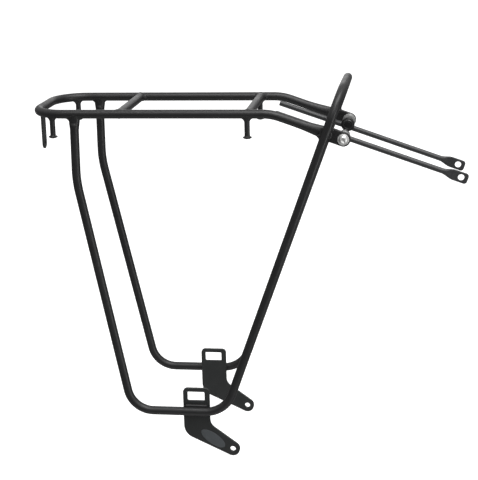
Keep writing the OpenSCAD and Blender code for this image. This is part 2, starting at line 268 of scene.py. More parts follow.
def weld_ring(name, branch_at, branch_dir, r, main_at, main_dir, main_r, leg=3.2, ripples=20, power=1.0, seed=0.0, squash=0.0):
    """Fillet bead where a round branch meets a round bar. branch_dir points away from the bar."""
    a = Vector(branch_dir).normalized()
    m = Vector(main_dir).normalized()
    q, p = Vector(main_at), Vector(branch_at)
    u = (m - a * m.dot(a)).normalized()
    w = a.cross(u)
    n = ripples * 8
    rings = []
    for i in range(n):
        ph = 2 * pi * i / n
        e = u * cos(ph) + w * sin(ph)
        base = p + e * r
        # where this line of the branch meets the bar's surface, on the branch's side
        d0 = base - q
        d0 -= m * d0.dot(m)
        ax = a - m * a.dot(m)
        A, B, C = ax.dot(ax), 2 * d0.dot(ax), d0.dot(d0) - (main_r * 0.995) ** 2
        disc = B * B - 4 * A * C
        t = (-B + math.sqrt(max(disc, 0.0))) / (2 * A)
        c = base + a * t
        radial = c - q
        radial -= m * radial.dot(m)
        radial.normalize()
        wob = 1 + 0.10 * sin(3 * ph + seed) + 0.05 * sin(7 * ph + 2 * seed)
        L = leg * wob * (1 - squash * sin(ph) ** 2)
        top = c + a * (L * 1.15)
        side = c + e * L
        sr = side - q
        along = m * sr.dot(m)
        sr -= along
        side = q + along + sr.normalized() * (main_r + 0.02)
        rip = 0.13 * (abs(sin(ripples * ph / 2 + 0.35 * sin(2 * ph + seed))) - 0.5)
        mid = c + (e + a + radial * 0.4).normalized() * 0.42 * L
        ring = [top - e * 0.9, top + e * 0.03]
        for k in (0.2, 0.4, 0.6, 0.8):
            b = top * (1 - k) ** 2 + mid * (2 * k * (1 - k)) + side * k ** 2
            out = (b - (c - e * 0.8 - radial * 0.8)).normalized()
            ring.append(b + out * rip * sin(pi * k))
        ring.append(side)
        ring.append(side - radial * 0.9)
        ring.append(c - e * 1.1 - radial * 1.1)
        rings.append(ring)
    s = len(rings[0])
    verts = [v for ring in rings for v in ring]
    faces = [(i * s + k, i * s + (k + 1) % s, ((i + 1) % n) * s + (k + 1) % s, ((i + 1) % n) * s + k) for i in range(n) for k in range(s)]
    return new_object(name, verts, faces, 60)


def weld_line(name, a, b, r, flat=1.0, seed=0.0, normal=(0, 1, 0), pitch=1.5):
    """Straight bead with rounded ends and ripples."""
    a, b = Vector(a), Vector(b)
    length = (b - a).length
    n = max(12, int(length / pitch * 7))
    pts = [a.lerp(b, i / n) for i in range(n + 1)]

    def section(i, th):
        s = i / n * length
        end = min(s, length - s)
        cap = math.sqrt(max(0.0, 1 - (1 - min(end / (r * 1.2), 1)) ** 2))
        wave = 1 + 0.10 * (abs(sin(pi * s / pitch + 0.5 * sin(s * 0.7 + seed))) - 0.5) + 0.05 * sin(s * 0.45 + seed)
        k = max(0.02, cap) * r * wave
        return k * cos(th), k * flat * sin(th)

    return sweep(name, pts, section, normal=normal, sides=20, smooth=60)


# ---------------------------------------------------------------- materials
def nodes_of(name):
    mat = bpy.data.materials.new(name)
    mat.use_nodes = True
    nt = mat.node_tree
    bsdf = next(n for n in nt.nodes if n.type == "BSDF_PRINCIPLED")
    return mat, nt, bsdf


def add(nt, kind, **values):
    n = nt.nodes.new(kind)
    for k, v in values.items():
        if k in n.inputs:
            n.inputs[k].default_value = v
        else:
            setattr(n, k, v)
    return n


def ramp(nt, source, stops):
    r = nt.nodes.new("ShaderNodeValToRGB")
    nt.links.new(source, r.inputs["Fac"])
    el = r.color_ramp.elements
    while len(el) < len(stops):
        el.new(0.5)
    for e, (pos, col) in zip(el, stops):
        e.position = pos
        e.color = col if len(col) == 4 else (*col, 1)
    return r


def coat(name, base, rough, grain=1500.0, depth=0.35, wear=0.10, spec=0.5, sheen=0.0):
    """Powder coat or stoved paint: fine orange peel, cloudy gloss, specks, and rubbed edges."""
    mat, nt, b = nodes_of(name)
    link = nt.links.new
    tc = add(nt, "ShaderNodeTexCoord")
    cloud = add(nt, "ShaderNodeTexNoise", Scale=38.0, Detail=4.0, Roughness=0.6)
    fine = add(nt, "ShaderNodeTexNoise", Scale=grain, Detail=3.0, Roughness=0.55)
    speck = add(nt, "ShaderNodeTexVoronoi", Scale=grain * 0.55)
    for n in (cloud, fine, speck):
        link(tc.outputs["Object"], n.inputs["Vector"])
    tone = ramp(nt, cloud.outputs["Fac"], [(0.30, tuple(c * 0.86 for c in base)), (0.52, base), (0.75, tuple(c * 1.16 + 0.001 for c in base))])
    dust = ramp(nt, speck.outputs["Distance"], [(0.0, (1, 1, 1)), (0.10, (0, 0, 0))])
    mix = add(nt, "ShaderNodeMix", data_type="RGBA")
    link(dust.outputs["Color"], mix.inputs["Factor"])
    link(tone.outputs["Color"], mix.inputs[6])
    mix.inputs[7].default_value = (*[c * 1.6 + 0.004 for c in base], 1)
    geo = add(nt, "ShaderNodeNewGeometry")
    edge = ramp(nt, geo.outputs["Pointiness"], [(0.53, (0, 0, 0)), (0.60, (1, 1, 1))])
    patchy = add(nt, "ShaderNodeMath", operation="MULTIPLY")
    link(edge.outputs["Color"], patchy.inputs[0])
    link(cloud.outputs["Fac"], patchy.inputs[1])
    amount = add(nt, "ShaderNodeMath", operation="MULTIPLY")
    link(patchy.outputs[0], amount.inputs[0])
    amount.inputs[1].default_value = wear
    worn = add(nt, "ShaderNodeMix", data_type="RGBA")
    link(amount.outputs[0], worn.inputs["Factor"])
    link(mix.outputs[2], worn.inputs[6])
    worn.inputs[7].default_value = (0.22, 0.22, 0.23, 1)
    link(worn.outputs[2], b.inputs["Base Color"])
    gloss = add(nt, "ShaderNodeMapRange")
    gloss.inputs["From Min"].default_value, gloss.inputs["From Max"].default_value = 0.3, 0.7
    gloss.inputs["To Min"].default_value, gloss.inputs["To Max"].default_value = rough - 0.05, rough + 0.06
    link(cloud.outputs["Fac"], gloss.inputs["Value"])
    link(gloss.outputs["Result"], b.inputs["Roughness"])
    bump = add(nt, "ShaderNodeBump", Strength=depth, Distance=0.00005)
    link(fine.outputs["Fac"], bump.inputs["Height"])
    link(bump.outputs["Normal"], b.inputs["Normal"])
    b.inputs["Specular IOR Level"].default_value = spec
    b.inputs["Sheen Weight"].default_value = sheen
    b.inputs["Sheen Roughness"].default_value = 0.4
    return mat


def turned(name, base, rough, centre, pitch=0.28, metallic=1.0, rings=0.5):
    """Metal turned about a Y axis through centre: fine rings and cloudy tarnish."""
    mat, nt, b = nodes_of(name)
    link = nt.links.new
    tc = add(nt, "ShaderNodeTexCoord")
    mp = add(nt, "ShaderNodeMapping")
    mp.inputs["Location"].default_value = (-centre[0] * MM, 0, -centre[2] * MM)
    link(tc.outputs["Object"], mp.inputs["Vector"])
    flat = add(nt, "ShaderNodeVectorMath", operation="MULTIPLY")
    flat.inputs[1].default_value = (1, 0, 1)
    link(mp.outputs["Vector"], flat.inputs[0])
    dist = add(nt, "ShaderNodeVectorMath", operation="LENGTH")
    link(flat.outputs["Vector"], dist.inputs[0])
    turn = add(nt, "ShaderNodeMath", operation="MULTIPLY")
    link(dist.outputs["Value"], turn.inputs[0])
    turn.inputs[1].default_value = 2 * pi / (pitch * MM)
    wave = add(nt, "ShaderNodeMath", operation="SINE")
    link(turn.outputs[0], wave.inputs[0])
    cloud = add(nt, "ShaderNodeTexNoise", Scale=420.0, Detail=5.0, Roughness=0.65)
    link(tc.outputs["Object"], cloud.inputs["Vector"])
    tone = ramp(nt, cloud.outputs["Fac"], [(0.28, tuple(c * 0.70 for c in base)), (0.55, base), (0.80, tuple(min(1, c * 1.15) for c in base))])
    link(tone.outputs["Color"], b.inputs["Base Color"])
    gloss = add(nt, "ShaderNodeMapRange")
    gloss.inputs["From Min"].default_value, gloss.inputs["From Max"].default_value = 0.3, 0.75
    gloss.inputs["To Min"].default_value, gloss.inputs["To Max"].default_value = rough - 0.08, rough + 0.12
    link(cloud.outputs["Fac"], gloss.inputs["Value"])
    link(gloss.outputs["Result"], b.inputs["Roughness"])
    height = add(nt, "ShaderNodeMath", operation="MULTIPLY_ADD")
    link(wave.outputs[0], height.inputs[0])
    height.inputs[1].default_value = 0.5
    link(cloud.outputs["Fac"], height.inputs[2])
    bump = add(nt, "ShaderNodeBump", Strength=rings, Distance=0.00001)
    link(height.outputs[0], bump.inputs["Height"])
    link(bump.outputs["Normal"], b.inputs["Normal"])
    b.inputs["Metallic"].default_value = metallic
    return mat


FRAME_COAT = coat("frame_powder_coat", (0.0105, 0.0105, 0.011), 0.40, spec=0.42)
PLATE_COAT = coat("plate_powder_coat", (0.022, 0.0235, 0.0235), 0.55, spec=0.3)
STAY_COAT = coat("stay_black", (0.027, 0.0275, 0.029), 0.30, grain=2400.0, depth=0.2, spec=0.46)
BARREL_COAT = coat("barrel_black", (0.0045, 0.0045, 0.005), 0.32, grain=2600.0, depth=0.2, wear=0.1, spec=0.34)
BADGE = coat("badge_print", (0.064, 0.071, 0.076), 0.36, grain=3000.0, depth=0.12, wear=0.0, spec=0.5)
STEEL = turned("bolt_steel", (0.72, 0.72, 0.71), 0.36, BOLT, metallic=0.72)
COLLAR = turned("collar_metal", (0.40, 0.405, 0.40), 0.42, BOLT, pitch=0.4, metallic=0.9)
CAP_COAT = coat("cap_black", (0.003, 0.003, 0.0033), 0.26, grain=2600.0, depth=0.15, wear=0.1, spec=0.55)


def piece(ob, body, slot, mat, *replaced):
    ob.data.materials.clear()
    ob.data.materials.append(mat)
    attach(ob, body)
    if replaced:
        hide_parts(*replaced)
    return ob


# ---------------------------------------------------------------- platform tube
def lug_section(d):
    """Half thickness, half width and squareness of a rail at d mm behind the clamp bolt (negative is beyond it)."""
    t = smoothstep((33.0 - d) / 20.0)
    a = R + (LUG_T / 2 - R) * t
    # the rod is already a little oval well before it is flat
    wide = min(1.0, max(0.0, (56.0 - d) / 42.0))
    b = R + (LUG_R - R) * wide ** 1.9 * (1.9 - 0.9 * wide)
    power = 2 + 4.5 * smoothstep((26.0 - d) / 14.0)
    if d < 0:
        b = math.sqrt(max(0.0, LUG_R ** 2 - d * d))
        rim = LUG_R + d
        if rim < 1.0:
            a *= 0.55 + 0.45 * math.sqrt(max(0.0, 1 - (1 - rim) ** 2))
    return a, max(b, 0.25), power


def platform():
    down = Vector((cos(DIP), 0, -sin(DIP)))
    tip = BOLT + down * (LUG_R - 0.02)
    corner = Vector((DIP_X, 0, RAIL_Z))
    side = lambda p, s: Vector((p.x, s * RAIL_Y, p.z))
    pts = rounded_path([side(tip, -1), side(corner, -1), (-REAR_X, -RAIL_Y, RAIL_Z), (-REAR_X, RAIL_Y, RAIL_Z), side(corner, 1), side(tip, 1)],
                       [DIP_R, CORNER_R, CORNER_R, DIP_R])
    # finer rings over both flattened ends
    full = (BOLT - corner).length + LUG_R - 0.02
    inner = [p for p in pts if abs((Vector((p.x, 0, p.z)) - corner).dot(down)) < 0.001 or (Vector((p.x, 0, p.z)) - corner).dot(down) < LUG_RUN - 40]
    ds = [-LUG_R + 0.02, -7.7, -7.5, -7.2, -6.8, -6.3, -5.6, -4.8, -3.8, -2.6, -1.3, 0] + [1.4 * i for i in range(1, 28)]
    head = [BOLT - down * d for d in ds]
    line = [side(p, -1) for p in head] + inner + [side(p, 1) for p in reversed(head)]
    dist = [min(200.0, (Vector((p.x, 0, p.z)) - BOLT).dot(-down)) if (p.x > DIP_X + 12) else 200.0 for p in line]

    def section(i, th):
        a, b, power = lug_section(dist[i])
        return superellipse(a, b, power, th)

    ob = sweep("platform_tube_skin", line, section, normal=(0, 1, 0), sides=48)
    for s in (-1, 1):
        hole = lathe("cutter", [(0, -8), (3.0, -8), (3.0, 8), (0, 8)], (BOLT.x, s * RAIL_Y, BOLT.z), (0, 1, 0), sides=48)
        cut(ob, hole)
    return piece(ob, "frame", "frame_powder_coat", FRAME_COAT, "platform_tube")


platform()


# ---------------------------------------------------------------- side frames and hoop
def lean_point(z, s):
    y = FOOT_Y + (HOOP_Y - FOOT_Y) * (z - FOOT_Z) / (BOLT.z + 8 - FOOT_Z)
    return Vector((-TOE_X + (z - FOOT_Z) * (LEAN + s * SKEW / (HOOP_Z - FOOT_Z)), s * y, z))


def side_points(s):
    return [Vector((-LEG_X, s * RAIL_Y, RAIL_Z - 2.5)), Vector((-LEG_X - 1, s * (RAIL_Y + 1), KNEE_Z)), Vector((-HEEL_X, s * FOOT_Y, FOOT_Z)),
            Vector((-TOE_X, s * FOOT_Y, FOOT_Z)), lean_point(HOOP_Z, s)]


def side_frame():
    pts = rounded_path(side_points(-1) + side_points(1)[::-1], [KNEE_R, HEEL_R, TOE_R, HOOP_R, HOOP_R, TOE_R, HEEL_R, KNEE_R])
    ob = sweep("side_frame_skin", pts, lambda i, th: (R * cos(th), R * sin(th)), sides=44)
    return piece(ob, "frame", "frame_powder_coat", FRAME_COAT, "side_frame_tube")


side_frame()

# ---------------------------------------------------------------- cross bars
for name, x in (("rear_cross_bar", BAR_REAR), ("front_cross_bar", BAR_FRONT)):
    n = 14
    pts = [Vector((x, -59.2 + 118.4 * i / n, RAIL_Z)) for i in range(n + 1)]
    ob = sweep(name + "_skin", pts, lambda i, th: (R * cos(th), R * sin(th)), normal=(0, 0, 1), sides=44)
    piece(ob, "frame", "frame_powder_coat", FRAME_COAT, name)
    for s, side in ((-1, "right"), (1, "left")):
        w = weld_ring(f"{side}_{name}_weld", (x, s * RAIL_Y, RAIL_Z), (0, -s, 0), R, (x, s * RAIL_Y, RAIL_Z), (1, 0, 0), R, leg=2.9, seed=x + s)
        piece(w, "frame", "frame_powder_coat", FRAME_COAT)



def weld_sleeve(name, at, direction, r, grow, start, length, seed=0.0):
    """Long tapered bead round the end of a leg, wide along the bar it is welded to, with a low swell across it."""
    d = Vector(direction).normalized()
    at = Vector(at)
    n = 60
    pts = [at + d * (start + length * i / n) + Vector((0.5 * (1 - i / n), 0, 0)) for i in range(n + 1)]

    def section(i, th):
        t = i / n
        h = start + length * t
        flare = grow * smoothstep((h + 2.0) / 5.0) * (1 - smoothstep((h - 4.0) / 16.0))
        swell = 0.06 + 0.85 * smoothstep((h - 9.6) / 3.4) * (1 - smoothstep((h - 12.6) / 10.0))
        wave = (0.05 * sin(5 * th + 9 * t + seed) + 0.03 * sin(11 * th + seed)) * (1 - t) * smoothstep(h / 5)
        fade = 0.08 * t * t
        a, b = r + swell + wave - fade, r + flare + wave - fade
        if i in (0, n):
            a = b = r - 0.4
        return a * cos(th), b * sin(th)

    return sweep(name, pts, section, normal=(0, 1, 0), sides=56, smooth=60)


# rear legs under the rails
for s, side in ((-1, "right"), (1, "left")):
    top, knee = side_points(s)[0], side_points(s)[1]
    w = weld_ring(f"{side}_rear_leg_weld", (top.x, top.y, RAIL_Z), knee - top, R - 0.3, (top.x, s * RAIL_Y, RAIL_Z), (1, 0, 0), R, leg=4.3, seed=1.3 + s, squash=0.7)
    piece(w, "frame", "frame_powder_coat", FRAME_COAT)
    w = weld_sleeve(f"{side}_rear_leg_weld_taper", (top.x, top.y, RAIL_Z), knee - top, R, 1.5, 0.6, 22.4, seed=s)
    piece(w, "frame", "frame_powder_coat", FRAME_COAT)

# front legs beside the rails: a bead all round the place where the two bars touch
for s, side in ((-1, "right"), (1, "left")):
    z = BOLT.z + 8
    for _ in range(20):
        x = lean_point(z, s).x
        z = RAIL_Z - (x - DIP_X) * math.tan(DIP)
    c = Vector((x, s * 67.45, z))
    n = 150
    d_leg = (lean_point(300, s) - lean_point(200, s)).normalized()
    d_rail = Vector((cos(DIP), 0, -sin(DIP)))
    pts, thick = [], []
    for i in range(n):
        t = 2 * pi * i / n
        e = Vector((cos(t), 0, sin(t)))
        al, ar = abs(e.dot(Vector((d_leg.x, 0, d_leg.z)).normalized())), abs(e.dot(d_rail))
        reach = 5.3
        pts.append(c + e * reach + Vector((0, -s * 0.4, 0)))
        thick.append(2.3 + 0.5 * (1 - abs(al - ar)))
    w = sweep(f"{side}_front_leg_weld", pts, lambda i, th: ((thick[i] + 0.12 * (abs(sin(11 * 2 * pi * i / n)) - 0.5)) * cos(th), (thick[i] + 0.12 * (abs(sin(11 * 2 * pi * i / n)) - 0.5)) * sin(th)),
              normal=(0, 1, 0), sides=20, smooth=60, closed=True)
    piece(w, "frame", "frame_powder_coat", FRAME_COAT)

# the filled corner behind the front leg, under the rail
for s, side in ((-1, "right"), (1, "left")):
    z = BOLT.z + 8
    for _ in range(20):
        x = lean_point(z, s).x
        z = RAIL_Z - (x - DIP_X) * math.tan(DIP)
    c = Vector((x, 0, z))
    leg = (lean_point(300, s) - lean_point(200, s))
    leg = Vector((leg.x, 0, leg.z)).normalized()
    rail = Vector((cos(DIP), 0, -sin(DIP)))
    for part, ur, ul, fil in (("lower", -rail, -leg, 3.3), ("upper", rail, leg, 1.9), ("front", rail, -leg, 1.7), ("rear", -rail, leg, 1.5)):
        half = ur.angle(ul) / 2
        hr = R + (0.75 if ur.dot(rail) < 0 else 1.9)
        # corner of the two outlines, then the centre of the concave arc beyond it
        nr = (ul - ur * ul.dot(ur)).normalized()
        nl = (ur - ul * ur.dot(ul)).normalized()
        k = ur.dot(nl)
        m = c + nl * 0 + ur * ((R + fil) / k) + ul * 0
        m = m + ul * (((hr + fil) - (m - c).dot(nr)) / ul.dot(nr))
        a0, a1 = -nr, -nl
        turn = a0.angle(a1)
        arc = []
        for i in range(17):
            t = i / 16
            arc.append(m + (a0 * sin((1 - t) * turn) + a1 * sin(t * turn)) / sin(turn) * fil)
        inner = c - (ur + ul).normalized() * 0.5
        loop = [(arc[0] - nr * 2.2)] + arc + [(arc[-1] - nl * 2.2), inner]
        loop = [(p.x, p.z) for p in loop]
        ob = plate(f"{side}_front_leg_fillet_{part}", [loop], s * 63.6, s * 71.4, 2.4, smooth=60)
        piece(ob, "frame", "frame_powder_coat", FRAME_COAT)

# ---------------------------------------------------------------- cord posts
POST_D, HEAD_D, DROP = 6.3, 10.6, 28.8
turn = rad(22)
for side, s in (("right", -1), ("left", 1)):
    for end, x, y in (("rear", -REAR_X + CORNER_R * (1 - sin(turn)), RAIL_Y - CORNER_R * (1 - cos(turn))), ("front", 25.2, RAIL_Y)):
        h, p = HEAD_D / 2, POST_D / 2
        under = [(0.0, 0.0), (0.9, 0.03), (1.6, 0.12), (2.4, 0.3), (3.0, 0.5), (3.7, 0.78), (4.3, 1.1), (4.8, 1.42), (h - 0.22, 1.72), (h - 0.06, 1.98)]
        rim = [(h, 2.2), (h - 0.07, 2.44), (h - 0.3, 2.7), (4.6, 2.93), (4.1, 3.12)]
        neck = [(3.7, 3.26), (p + 0.25, 3.42), (p + 0.08, 3.62), (p, 3.9)]
        up = [(p, 3.9 + i * (DROP - 3.9 - 2.6) / 6) for i in range(1, 7)] + [(0, DROP - 2.6)]
        ob = lathe(f"{side}_{end}_post_skin", under + rim + neck + up, (x, s * y, RAIL_Z - DROP), (0, 0, 1), sides=48, smooth=50)
        piece(ob, "frame", "frame_powder_coat", FRAME_COAT, f"{side}_{end}_cord_post")
        tang = Vector((1, 0, 0)) if end == "front" else Vector((cos(turn), s * sin(turn), 0))
        w = weld_ring(f"{side}_{end}_post_weld", (x, s * y, RAIL_Z), (0, 0, -1), POST_D / 2, (x, s * y, RAIL_Z), tang, R, leg=2.9, ripples=14, seed=x)
        piece(w, "frame", "frame_powder_coat", FRAME_COAT)

# ---------------------------------------------------------------- reflector tab
TAB_W, TAB_T, TAB_DROP = 14.0, 2.0, 52.5
loop = arc2(0, -TAB_DROP + TAB_W / 2, TAB_W / 2, 180, 360, 28) + [(TAB_W / 2, -3.4), (-TAB_W / 2, -3.4)]
hole = arc2(0, -TAB_DROP + TAB_W / 2, 2.6, 360, 0, 32)[:-1]
tab = plate("reflector_tab_skin", [loop, hole], 0, TAB_T, 0.35)
tab.data.transform(Matrix.Translation(Vector((-(REAR_X + R - 1.5), 0, RAIL_Z)) * MM) @ Matrix.Rotation(rad(90), 4, "Z"))
piece(tab, "frame", "plate_powder_coat", PLATE_COAT, "reflector_tab")
w = weld_line("reflector_tab_weld_back", (-REAR_X - R + 0.72, -TAB_W / 2 + 0.4, RAIL_Z - 3.3), (-REAR_X - R + 0.72, TAB_W / 2 - 0.4, RAIL_Z - 3.3), 1.05, seed=0.4, normal=(0, 0, 1))
piece(w, "frame", "frame_powder_coat", FRAME_COAT)
w = weld_line("reflector_tab_weld_front", (-REAR_X - R + 2.0, -TAB_W / 2 + 0.4, RAIL_Z - 5.0), (-REAR_X - R + 2.0, TAB_W / 2 - 0.4, RAIL_Z - 5.0), 1.2, seed=1.4, normal=(0, 0, 1))
piece(w, "frame", "frame_powder_coat", FRAME_COAT)


# ---------------------------------------------------------------- foot plates and badge
def plate_loops():
    rear, front, top, end_r, tr = 58.8, 26.8, 76.8, 8.5, 5.0
    arm, low, fr, lr = -36.6, -25.2, 12.0, 17.0
    n = (cos(rad(arm + 90)), sin(rad(arm + 90)))
    fx = -front + fr
    fz = (end_r + fr - fx * n[0]) / n[1]
    m = (cos(rad(low - 90)), sin(rad(low - 90)))
    lx = -rear + lr
    lz = (end_r - lr - lx * m[0]) / m[1]
    outer = arc2(-front - tr, top - tr, tr, 90, 0, 12)
    outer += arc2(fx, fz, fr, 180, 270 + arm, 14)
    outer += arc2(0, 0, end_r, 90 + arm, low - 90, 40)
    outer += arc2(lx, lz, lr, low - 90, -180, 16)
    outer += arc2(-rear + tr, top - tr, tr, 180, 90, 12)
    hole = arc2(0, 0, 3.5, 0, 360, 48)[:-1]
    x0, x1, z1, z0, c = -front - 5.9 - 21.0, -front - 5.9, top - 4.4, top - 16.0, 1.2
    slot = arc2(x1 - c, z1 - c, c, 90, 0, 5) + arc2(x1 - c, z0 + c, c, 0, -90, 5) + arc2(x0 + c, z0 + c, c, -90, -180, 5) + arc2(x0 + c, z1 - c, c, 180, 90, 5)
    return [outer, hole, slot]


for side, s in (("right", -1), ("left", 1)):
    ob = plate(f"{side}_foot_plate_skin", plate_loops(), s * PLATE_IN, s * (PLATE_OUT - 0.35), 0.55)
    piece(ob, "frame", "plate_powder_coat", PLATE_COAT, f"{side}_foot_plate")
    for part, dz in (("upper", 1), ("lower", -1)):
        w = weld_line(f"{side}_plate_{part}_weld", (-56.8, s * 71.35, FOOT_Z + dz * 5.6), (-28.8, s * 71.35, FOOT_Z + dz * 5.6), 2.3, flat=0.9, seed=dz + s)
        piece(w, "frame", "frame_powder_coat", FRAME_COAT)

# blank oval badge, slightly domed, with a raised rim
A, B = 17.0, 6.8
rows = [(1.0, 0.0), (1.0, 0.30), (0.985, 0.40), (0.965, 0.44), (0.945, 0.40), (0.93, 0.30), (0.90, 0.30), (0.7, 0.36), (0.4, 0.41), (0.15, 0.43)]
verts, faces, N = [], [], 96
for k, h in rows:
    for i in range(N):
        t = 2 * pi * i / N
        edge = 1 - k
        verts.append((A * cos(t) - edge * A * cos(t) * (1 if k < 0.9 else B / A), h, B * sin(t) - edge * B * sin(t) * (1 if k < 0.9 else 1.0)))
for j in range(len(rows) - 1):
    for i in range(N):
        m = (i + 1) % N
        faces.append((j * N + i, j * N + m, (j + 1) * N + m, (j + 1) * N + i))
faces.append(tuple((len(rows) - 1) * N + i for i in range(N)))
faces.append(tuple(range(N)))
badge = new_object("right_plate_badge_skin", verts, faces, 50)
badge.data.transform(Matrix.Translation(Vector((-23.6, -(PLATE_OUT - 0.40), 12.9)) * MM) @ Matrix.Rotation(rad(36), 4, "Y") @ Matrix.Diagonal((1, -1, 1, 1)))
badge.data.flip_normals()
piece(badge, "frame", "badge_print", BADGE, "right_plate_badge")


# ---------------------------------------------------------------- clamps
def button_head(name, at, axis):
    """Domed button head with a hexagon socket, and its shank."""
    z = Vector(axis)
    x = Vector((1, 0, 0))
    y = z.cross(x)
    at = Vector(at)
    N = 72
    verts, faces, rings = [], [], []

    def ring(fn):
        rings.append(list(range(len(verts), len(verts) + N)))
        for k in range(N):
            a, b, h = fn(2 * pi * k / N)
            verts.append(at + x * a + y * b + z * h)

    circle = lambda r, h: ring(lambda t: (r * cos(t), r * sin(t), h))

    def hexagon(af, h):
        def fn(t):
            u = (t + pi / 6) % (pi / 3) - pi / 6
            r = af / 2 / cos(u)
            return r * cos(t), r * sin(t), h
        ring(fn)

    circle(2.95, -29.0)
    circle(2.95, -20.0)
    circle(2.95, -10.0)
    circle(2.95, 0.0)
    circle(5.05, 0.0)
    circle(5.25, 0.12)
    circle(5.3, 0.35)
    circle(5.3, 0.75)
    for r in (5.2, 4.95, 4.6, 4.2, 3.75, 3.3, 2.95):
        circle(r, -3.2 + math.sqrt(6.5 ** 2 - r * r))
    circle(2.75, 3.2)
    circle(2.6, 3.05)
    hexagon(4.1, 2.9)
    hexagon(4.0, 2.7)
    hexagon(4.0, 1.25)
    hexagon(3.0, 1.05)
    for a, b in zip(rings, rings[1:]):
        for k in range(N):
            m = (k + 1) % N
            faces.append((a[k], a[m], b[m], b[k]))
    faces.append(tuple(rings[0]))
    c = len(verts)
    verts.append(at + z * 0.75)
    for k in range(N):
        faces.append((rings[-1][k], rings[-1][(k + 1) % N], c))
    return new_object(name, verts, faces, 28)


LUG_OUT, LUG_IN = RAIL_Y + LUG_T / 2, RAIL_Y - LUG_T / 2
for side, s in (("right", -1), ("left", 1)):
    body = f"{side}_clamp"
    axis = (0, s, 0)
    o = Vector((BOLT.x, 0, BOLT.z))
    bolt = button_head(f"{side}_clamp_bolt_skin", o + Vector((0, s * (LUG_OUT + 1.2), 0)), axis)
    piece(bolt, body, "bolt_steel", STEEL, f"{side}_clamp_bolt")
    ro, ri, t = 6.6, 3.2, 1.2
    prof = [(ri, 0.15), (ri + 0.15, 0), (ro - 0.15, 0), (ro, 0.15), (ro, t - 0.4), (ro - 0.12, t - 0.16), (ro - 0.4, t), (ri + 0.25, t), (ri, t - 0.2)]
    washer = lathe(f"{side}_clamp_washer_skin", prof, o + Vector((0, s * LUG_OUT, 0)), axis, sides=72)
    piece(washer, body, "bolt_steel", STEEL, f"{side}_clamp_washer")
    # collar: a turned spacer with one groove and chamfered rims
    ro, ri, L = 8.0, 3.1, 8.0
    prof = [(ri, 0.3), (ri + 0.3, 0), (ro - 0.7, 0), (ro - 0.2, 0.2), (ro, 0.7), (ro, 2.3), (ro - 0.15, 2.45), (ro - 0.55, 2.6), (ro - 0.55, 3.0), (ro - 0.15, 3.15), (ro, 3.3),
            (ro, L - 0.6), (ro - 0.2, L - 0.2), (ro - 0.6, L), (ri + 0.3, L), (ri, L - 0.3)]
    collar = lathe(f"{side}_clamp_collar_skin", prof, o + Vector((0, s * (LUG_IN - L), 0)), axis, sides=96)
    piece(collar, body, "collar_metal", COLLAR, f"{side}_clamp_collar")
    # barrel with its cross hole
    c = Vector((-sin(STAY_A), 0, -cos(STAY_A))) * (STAY_OFF / 2)
    y0, y1, r = STAY_Y - 6.6, LUG_IN - L, 6.3
    prof = [(0, y0), (r - 2.2, y0), (r - 1.3, y0 + 0.15), (r - 0.5, y0 + 0.6), (r - 0.1, y0 + 1.2), (r, y0 + 1.9), (r, y1 - 4.6), (r - 0.12, y1 - 4.4), (r - 0.5, y1 - 4.2), (r - 0.5, y1 - 3.4),
            (r - 0.12, y1 - 3.2), (r, y1 - 3.0), (r, y1 - 0.5), (r - 0.15, y1 - 0.15), (r - 0.5, y1), (0, y1)]
    barrel = lathe(f"{side}_clamp_barrel_skin", prof, o + c, axis, sides=72)
    if s > 0:
        # the left barrel's inner end is a wider black cap with a raised, dished middle
        y = STAY_Y - 6.6
        prof = [(0, y + 0.35), (2.6, y + 0.28), (4.0, y + 0.05), (4.7, y - 0.22), (5.0, y - 0.3), (5.25, y - 0.26), (5.75, y + 0.2), (6.05, y + 0.62), (6.3, y + 0.78),
                (6.6, y + 0.8), (7.5, y + 0.84), (7.85, y + 1.0), (8.0, y + 1.35), (8.0, y + 2.75), (7.85, y + 3.05), (7.6, y + 3.1), (0, y + 3.1)]
        cap = lathe("left_clamp_barrel_cap", [(r_, h_) for r_, h_ in prof], o, axis, sides=96)
        piece(cap, body, "barrel_black", CAP_COAT)
    drill = lathe("drill", [(0, -20), (STAY_R + 0.06, -20), (STAY_R + 0.06, 20), (0, 20)], Vector((ROD_AT.x, s * STAY_Y, ROD_AT.z)), ROD_DIR, sides=48)
    cut(barrel, drill)
    bevel(barrel, 0.3, 2, 50)
    piece(barrel, body, "barrel_black", BARREL_COAT, f"{side}_clamp_barrel")


